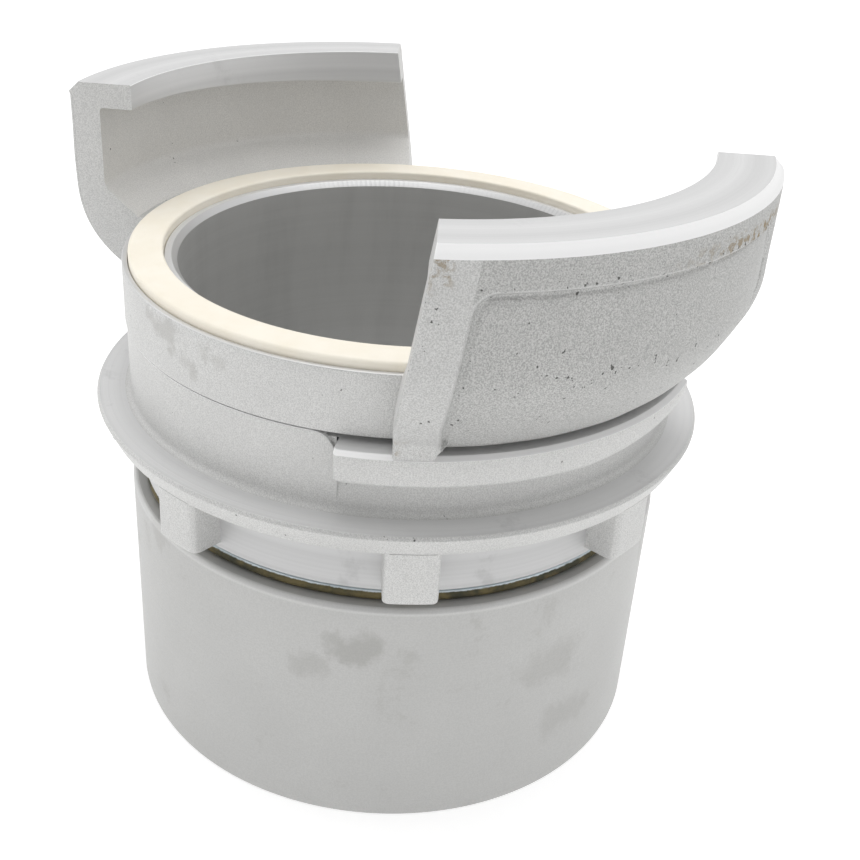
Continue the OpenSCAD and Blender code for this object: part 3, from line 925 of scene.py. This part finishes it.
class COUPLING_OT_socket(Operator):
    """Build the socket with its pipe thread"""

    bl_idname = "coupling.socket"
    bl_label = "Threaded socket"

    def execute(self, context):
        size, casting = context.scene.coupling_socket, context.scene.coupling_casting
        top, out, ledge = SOCKET_TOP * MM, SOCKET_R * MM, size.ledge_low * MM
        crest, depth = size.thread_r * MM, size.thread_depth * MM
        pitch, end = size.pitch * MM, size.thread_top * MM
        seat, tail_z, bore = casting.tail_r * MM + 0.05, CLAW_LOW * MM, casting.bore_r * MM
        root = crest + depth + 0.4
        before = rounded([
            (crest, end, 0), (root, end + 1.5, 0.1), (root, ledge, 0.3), (bore, ledge, 0.3),
            (bore, tail_z, 0.1), (seat, tail_z, 0), (seat, top, 0.2), (out, top, size.shoulder * MM),
            (out, 0.0, size.edge * MM),
            (crest + 1.9, 0.0, 0.2), (crest, 1.9, 0),
        ], closed=False)[1:-1]
        rows = np.linspace(1.9, end, 145)
        fade = smooth(rows, 1.9, 3.6) * (1 - smooth(rows, end - 1.5, end))
        columns = []
        for angle in np.linspace(0, 2 * math.pi, 240, endpoint=False):
            phase = (rows / pitch - angle / (2 * math.pi)) % 1.0
            groove = np.clip(1.25 * (1 - abs(2 * phase - 1)) - 0.12, 0, 1)
            wall = crest + depth * groove * fade
            outline = np.vstack([divided(before, 4.0, closed=False), np.column_stack([wall, rows])])
            columns.append(at_angle(outline, angle))

        def choose(at, normal):
            return 1 if math.hypot(at.x, at.y) < out - 1.2 else 0

        make_piece("socket_turning", [skin(columns)], "threaded_socket", "half_coupling",
                   [barrel_material(), bore_material()], choose)
        return {"FINISHED"}


def barrel_material():
    """Satin barrel with faint smudges, a darker stain below the front lug, and a painted highlight along the
    rounded top edge.
    """
    colour = bpy.context.scene.coupling_finishes.barrel
    material, tree, place = new_material("Barrel")
    ring = effect(tree, turning_group, place, Spacing=0.4)["Height"]
    grains = effect(tree, grain_group, place, Size=0.75, Pits=0.0)
    smear = effect(tree, soiling_group, place, Size=15.0, Amount=0.5)["Mask"]
    cloud = spread(tree, noise(tree, scaled(tree, place, MM), 0.035, 3.0, 0.55), 0.35, 0.7)
    speckle = spread(tree, grains["Speckle"], 0.35, 0.65)
    base = blend(tree, speckle, shade(colour, 0.95), shade(colour, 1.04))
    base = blend(tree, times(tree, cloud, 0.25), base, shade(colour, 0.84))
    base = blend(tree, times(tree, smear, 0.22), base, (0.30, 0.29, 0.27))
    # Painted highlight: a lighter band just under the top edge, where the rounded shoulder catches the light.
    lip = spread(tree, axes(tree, place)[2], SOCKET_TOP - 0.0016, SOCKET_TOP - 0.0006, 0.0, 0.3)
    base = blend(tree, lip, base, (0.92, 0.92, 0.91))
    spots = ((-48, 0.046, 0.009, 0.4), (-57, 0.040, 0.007, 0.25), (-8, 0.036, 0.012, 0.22),
             (-2, 0.018, 0.010, 0.2))
    base = stained(tree, place, base, SOCKET_R, spots, (0.27, 0.262, 0.245))
    height = plus(tree, ring, times(tree, grains["Height"], 0.7))
    return finish(material, base, spread(tree, ring, 0.2, 0.8, 0.4, 0.56), 0.5, height, 0.25, 0.0001)


class COUPLING_OT_seals(Operator):
    """Build the face seal and the sealing ring in the joint"""

    bl_idname = "coupling.seals"
    bl_label = "Seals"

    def execute(self, context):
        size = context.scene.coupling_seal
        low, top, out, inner, edge = (v * MM for v in (SEAL_LOW, SEAL_TOP, SEAL_R, size.inner_r, size.edge))
        outline = rounded([(inner, low, 0.2), (out, low, 0.2), (out, top, edge), (inner, top, edge)], 6)
        make_piece("face_seal_rubber", [spun(divided(outline, 1.0))], "face_seal", "half_coupling",
                   [seal_material()])
        r = (O_RING_TOP - O_RING_LOW) * MM / 2
        circle = curve(O_RING_R * MM - r, O_RING_LOW * MM + r, r, 0, 360, 28)[:-1]
        make_piece("joint_ring_rubber", [spun(circle, 240)], "joint_o_ring", "half_coupling",
                   [ring_rubber_material()])
        return {"FINISHED"}


def seal_material():
    """Cream rubber, a little mottled, with a fine bloom."""
    colour = bpy.context.scene.coupling_finishes.seal
    material, tree, place = new_material("Seal rubber")
    wide = scaled(tree, place, MM)
    cloud = spread(tree, noise(tree, wide, 0.09, 3.0, 0.6), 0.3, 0.7)
    fine = noise(tree, wide, 3.0, 3.0, 0.6)
    base = blend(tree, cloud, colour, tuple(c * w for c, w in zip(colour, (0.965, 0.95, 0.92))))
    base = blend(tree, spread(tree, fine, 0.6, 0.75, 0.0, 0.15), base, (0.75, 0.66, 0.50))
    return finish(material, base, spread(tree, fine, 0.2, 0.8, 0.5, 0.65), 0.0, fine, 0.12, 0.0002)


def ring_rubber_material():
    """Black rubber with a dull, dusty bloom."""
    material, tree, place = new_material("Black rubber")
    fine = noise(tree, scaled(tree, place, MM), 1.8, 4.0, 0.6)
    base = blend(tree, spread(tree, fine, 0.4, 0.7), (0.012, 0.012, 0.012), (0.04, 0.04, 0.038))
    return finish(material, base, spread(tree, fine, 0.2, 0.8, 0.45, 0.7), 0.0, fine, 0.2, 0.0002)


class COUPLING_OT_wire(Operator):
    """Build the sprung wire that holds the ring up"""

    bl_idname = "coupling.wire"
    bl_label = "Retaining wire"

    def execute(self, context):
        size = context.scene.coupling_seal
        r = (WIRE_TOP - WIRE_LOW) * MM / 2
        middle, height = WIRE_R * MM - r, WIRE_LOW * MM + r
        half = size.wire_gap * MM / 2 / middle
        start, end = math.radians(135) + half, math.radians(135) - half + 2 * math.pi
        dome = r / middle
        near = [(1 - math.cos(a)) * dome for a in np.radians([0, 15, 30, 45, 60, 75, 90])]
        angles = [start + d for d in near] + list(np.linspace(start + dome * 1.5, end - dome * 1.5, 354))
        angles += [end - d for d in near[::-1]]
        columns = []
        for angle in angles:
            depth = min(angle - start, end - angle) * middle
            width = max(0.02 * r, r - rolled(depth, r))
            columns.append(at_angle(curve(middle, height, width, 0, 360, 24)[:-1], angle))
        points, faces = skin(columns, closed=False)
        faces += [list(range(24)), list(range(len(points) - 24, len(points)))]
        make_piece("retaining_wire_spring", [(points, faces)], "retaining_wire", "half_coupling",
                   [wire_material()])
        return {"FINISHED"}


def wire_material():
    """Plated wire: bluish above, with dark olive and brown below its middle, partly soil and partly painted
    shade.
    """
    look = bpy.context.scene.coupling_finishes
    material, tree, place = new_material("Plated wire")
    middle, wide = (WIRE_TOP + WIRE_LOW) / 2, scaled(tree, place, MM)
    fine = noise(tree, wide, 0.9, 3.0, 0.6)
    edge = plus(tree, axes(tree, place)[2], times(tree, minus(tree, fine, 0.5), 0.0004))
    # Below its middle the wire is painted dark olive: partly soil, partly painted shade in the gap under the
    # skirt.
    soil_and_shade = spread(tree, edge, middle + 0.00095, middle + 0.0007)
    patches = spread(tree, noise(tree, wide, 0.22, 3.0, 0.6), 0.35, 0.65)
    soil = blend(tree, patches, (0.045, 0.045, 0.025), (0.15, 0.12, 0.05))
    rough, metal = spread(tree, soil_and_shade, 0.0, 1.0, 0.28, 0.7), spread(tree, soil_and_shade, 0.0, 1.0, 0.9, 0.2)
    return finish(material, blend(tree, soil_and_shade, look.wire, soil), rough, metal, fine, 0.3, 0.0002)


# Stage


def area_light(name, at, towards, width, power):
    data = bpy.data.lights.new(name, "AREA")
    data.shape, data.size, data.energy = "DISK", width, power
    lamp = bpy.data.objects.new(name, data)
    lamp.location = at
    lamp.rotation_euler = (Vector(towards) - Vector(at)).to_track_quat("-Z", "Y").to_euler()
    bpy.context.collection.objects.link(lamp)


class COUPLING_OT_stage(Operator):
    """Build the floor, the soft lights and the camera"""

    bl_idname = "coupling.stage"
    bl_label = "Stage"

    def execute(self, context):
        scene, stage = context.scene, context.scene.coupling_stage
        scene.view_settings.view_transform = "Standard"
        work = bmesh.new()
        bmesh.ops.create_circle(work, cap_ends=True, segments=96, radius=8.0)
        mesh = bpy.data.meshes.new("floor")
        work.to_mesh(mesh)
        work.free()
        floor = bpy.data.objects.new("floor", mesh)
        floor.location.z = SOCKET_LOW - 0.0002
        context.collection.objects.link(floor)
        material, tree, place = new_material("Floor")
        feed(tree, tree.nodes["Principled BSDF"], {
            "Base Color": blend(tree, noise(tree, place, 1.5, 2.0), stage.floor, shade(stage.floor, 0.985)),
            "Roughness": 0.9, "Specular IOR Level": 0.1, "Emission Color": (1.0, 1.0, 1.0),
            "Emission Strength": stage.glow,
        })
        mesh.materials.append(material)

        world = bpy.data.worlds.new("Room")
        scene.world = world
        world.use_nodes = True
        tree = world.node_tree
        way = put(tree, "TexCoord").outputs["Generated"]
        front = put(tree, "VectorMath", {0: way, 1: (math.cos(stage.azimuth), math.sin(stage.azimuth), 0.0)},
                    operation="DOT_PRODUCT").outputs["Value"]
        room = spread(tree, front, 0.35, 1.0, stage.room, stage.room * 0.42)
        seen = put(tree, "LightPath").outputs["Is Camera Ray"]
        strength = plus(tree, room, times(tree, seen, minus(tree, 1.0, room)))
        feed(tree, tree.nodes["Background"], {"Color": (1.0, 1.0, 1.0), "Strength": strength})

        centre = (0.0, 0.0, CLAW_TOP * 0.5)
        area_light("overhead", (-0.1, 0.15, 0.9), centre, 0.8, stage.overhead)
        area_light("side", (-0.8, -0.5, 0.5), centre, 0.6, stage.side)

        data = bpy.data.cameras.new("camera")
        data.lens, data.sensor_width = stage.lens, 36.0
        camera = bpy.data.objects.new("camera", data)
        context.collection.objects.link(camera)
        way, away = stage.azimuth, stage.distance
        at = Vector((away * math.cos(way), away * math.sin(way), stage.height))
        ahead = Vector((
            math.cos(stage.tilt) * math.cos(stage.heading), math.cos(stage.tilt) * math.sin(stage.heading),
            -math.sin(stage.tilt),
        ))
        turn = ahead.to_track_quat("-Z", "Y").to_matrix() @ Matrix.Rotation(stage.roll, 3, "Z")
        camera.matrix_world = Matrix.Translation(at) @ turn.to_4x4()
        scene.camera = camera
        return {"FINISHED"}


class COUPLING_PT_panel(Panel):
    """Sidebar panel with the coupling's pieces and sizes"""

    bl_idname = "COUPLING_PT_panel"
    bl_label = "Claw half-coupling"
    bl_space_type = "VIEW_3D"
    bl_region_type = "UI"
    bl_category = "Coupling"

    def draw(self, context):
        layout = self.layout
        for operator in OPERATORS:
            layout.operator(operator.bl_idname)
        for name, cls in SETTINGS.items():
            box = layout.box()
            box.label(text=cls.__name__)
            for prop in cls.__annotations__:
                box.prop(getattr(context.scene, name), prop)


SETTINGS = {
    "coupling_casting": CastingSizes,
    "coupling_ring": RingSizes,
    "coupling_socket": SocketSizes,
    "coupling_seal": SealSizes,
    "coupling_finishes": Finishes,
    "coupling_stage": StageSettings,
}
OPERATORS = (
    COUPLING_OT_stage, COUPLING_OT_casting, COUPLING_OT_ring, COUPLING_OT_socket, COUPLING_OT_seals,
    COUPLING_OT_wire,
)


def register():
    for cls in (*SETTINGS.values(), *OPERATORS, COUPLING_PT_panel):
        bpy.utils.register_class(cls)
    for name, cls in SETTINGS.items():
        setattr(bpy.types.Scene, name, PointerProperty(type=cls))


def unregister():
    for name in SETTINGS:
        delattr(bpy.types.Scene, name)
    for cls in reversed((*SETTINGS.values(), *OPERATORS, COUPLING_PT_panel)):
        bpy.utils.unregister_class(cls)


def main():
    register()
    bpy.ops.coupling.stage()
    bpy.ops.coupling.casting()
    bpy.ops.coupling.ring()
    bpy.ops.coupling.socket()
    bpy.ops.coupling.seals()
    bpy.ops.coupling.wire()


if __name__ == "__main__":
    main()
